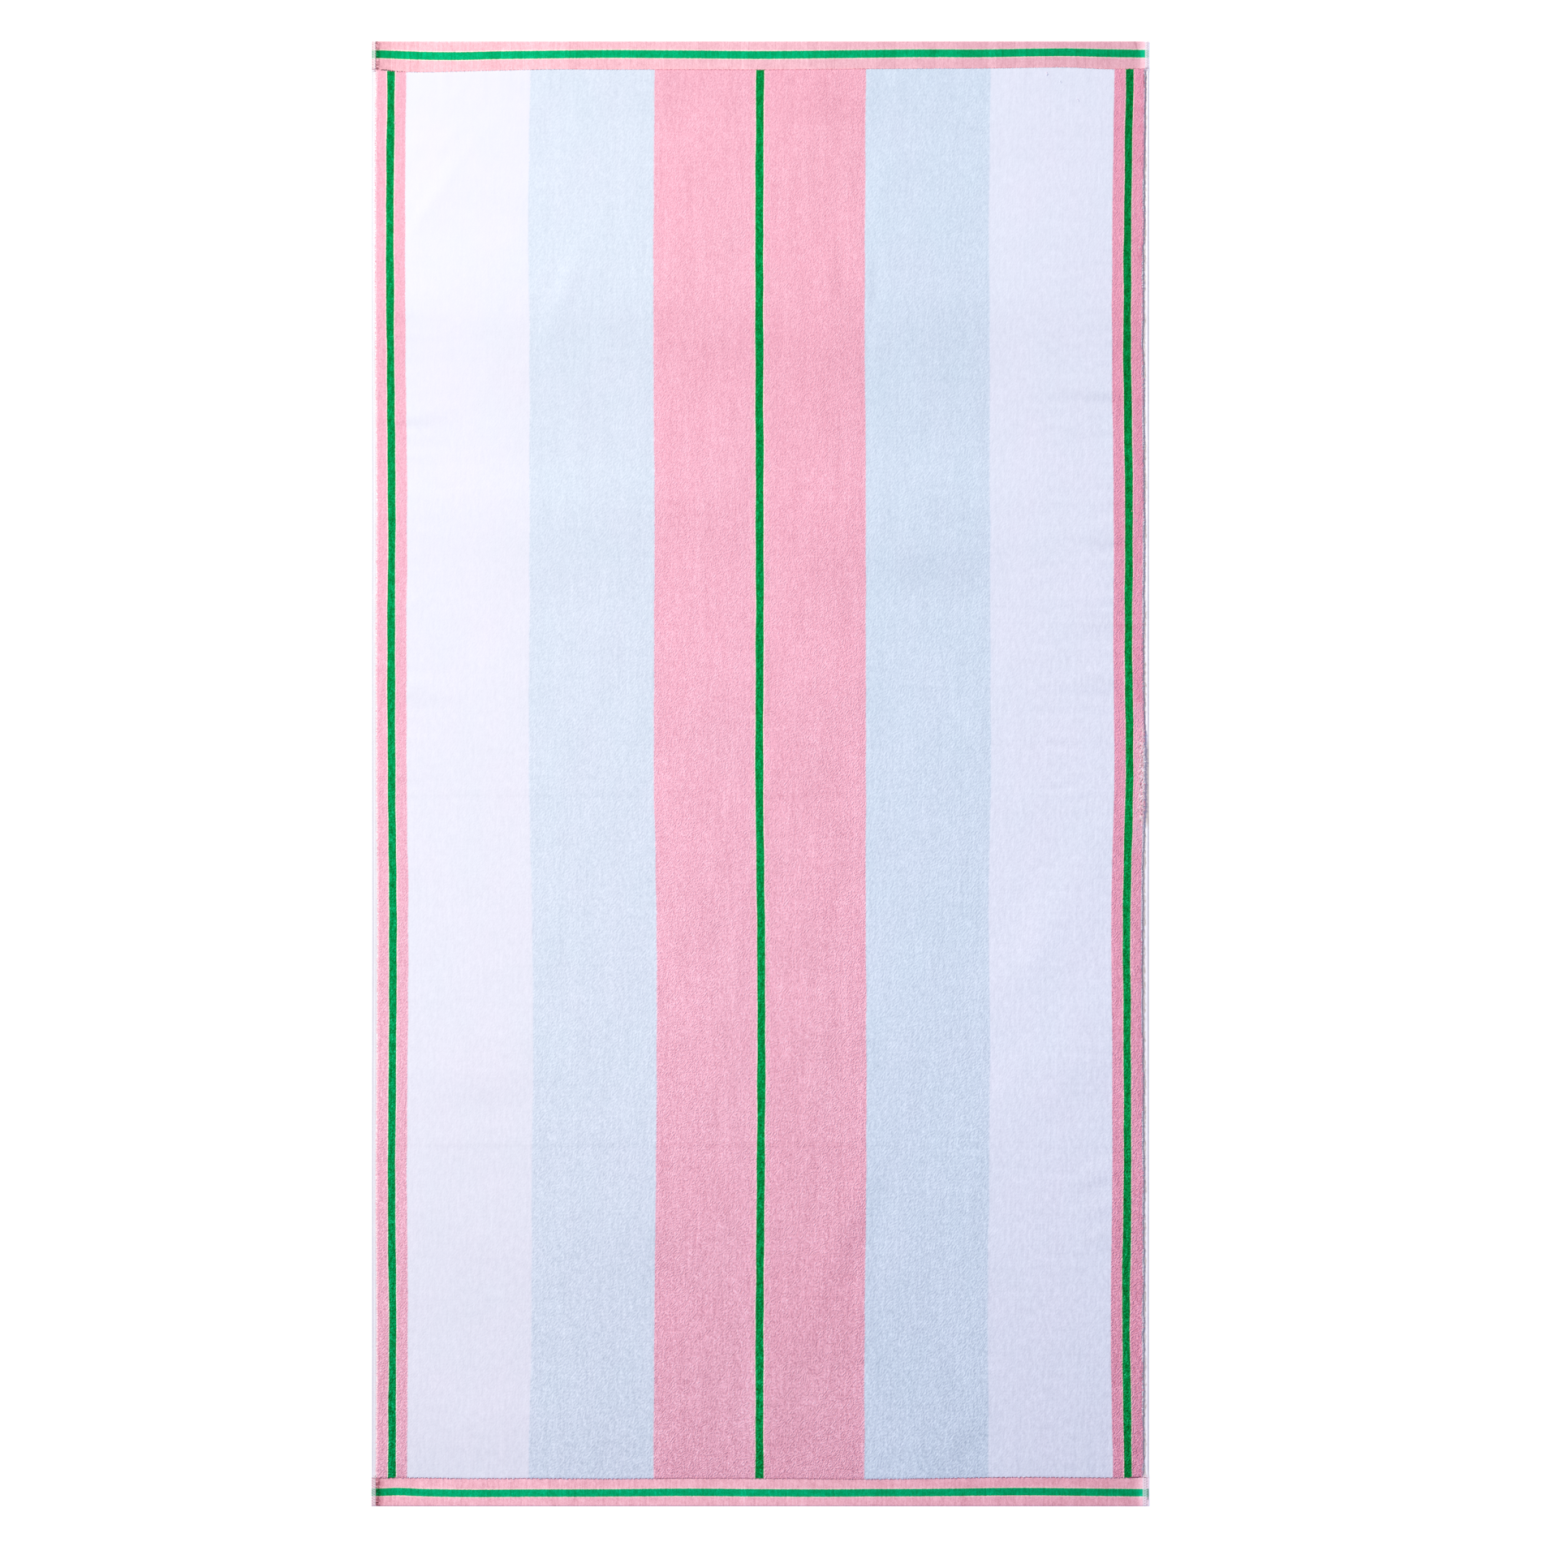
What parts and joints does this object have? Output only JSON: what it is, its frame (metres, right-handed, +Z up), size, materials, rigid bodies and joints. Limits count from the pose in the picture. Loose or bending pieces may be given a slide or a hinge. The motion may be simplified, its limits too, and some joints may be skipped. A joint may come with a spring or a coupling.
{
  "type": "beach towel",
  "caption": "Rectangular striped velour terry beach towel lying flat, with flat woven end bands, bare side selvedges and low folds.",
  "frame": {"origin": "middle of the underside, on the surface that the towel lies on", "axes": "+X across the towel, +Y along it towards the head end, +Z up, away from the surface and out of the face of the cloth"},
  "size_m": [0.9026, 1.7, 0.0044],
  "materials": {
    "striped_terry": "sheared cotton velour in lengthwise white, light blue, pink and green stripes, with flat woven pink and green end bands and white selvedges"
  },
  "bodies": {
    "root": {"towel": "striped_terry"}
  },
  "joints": []
}
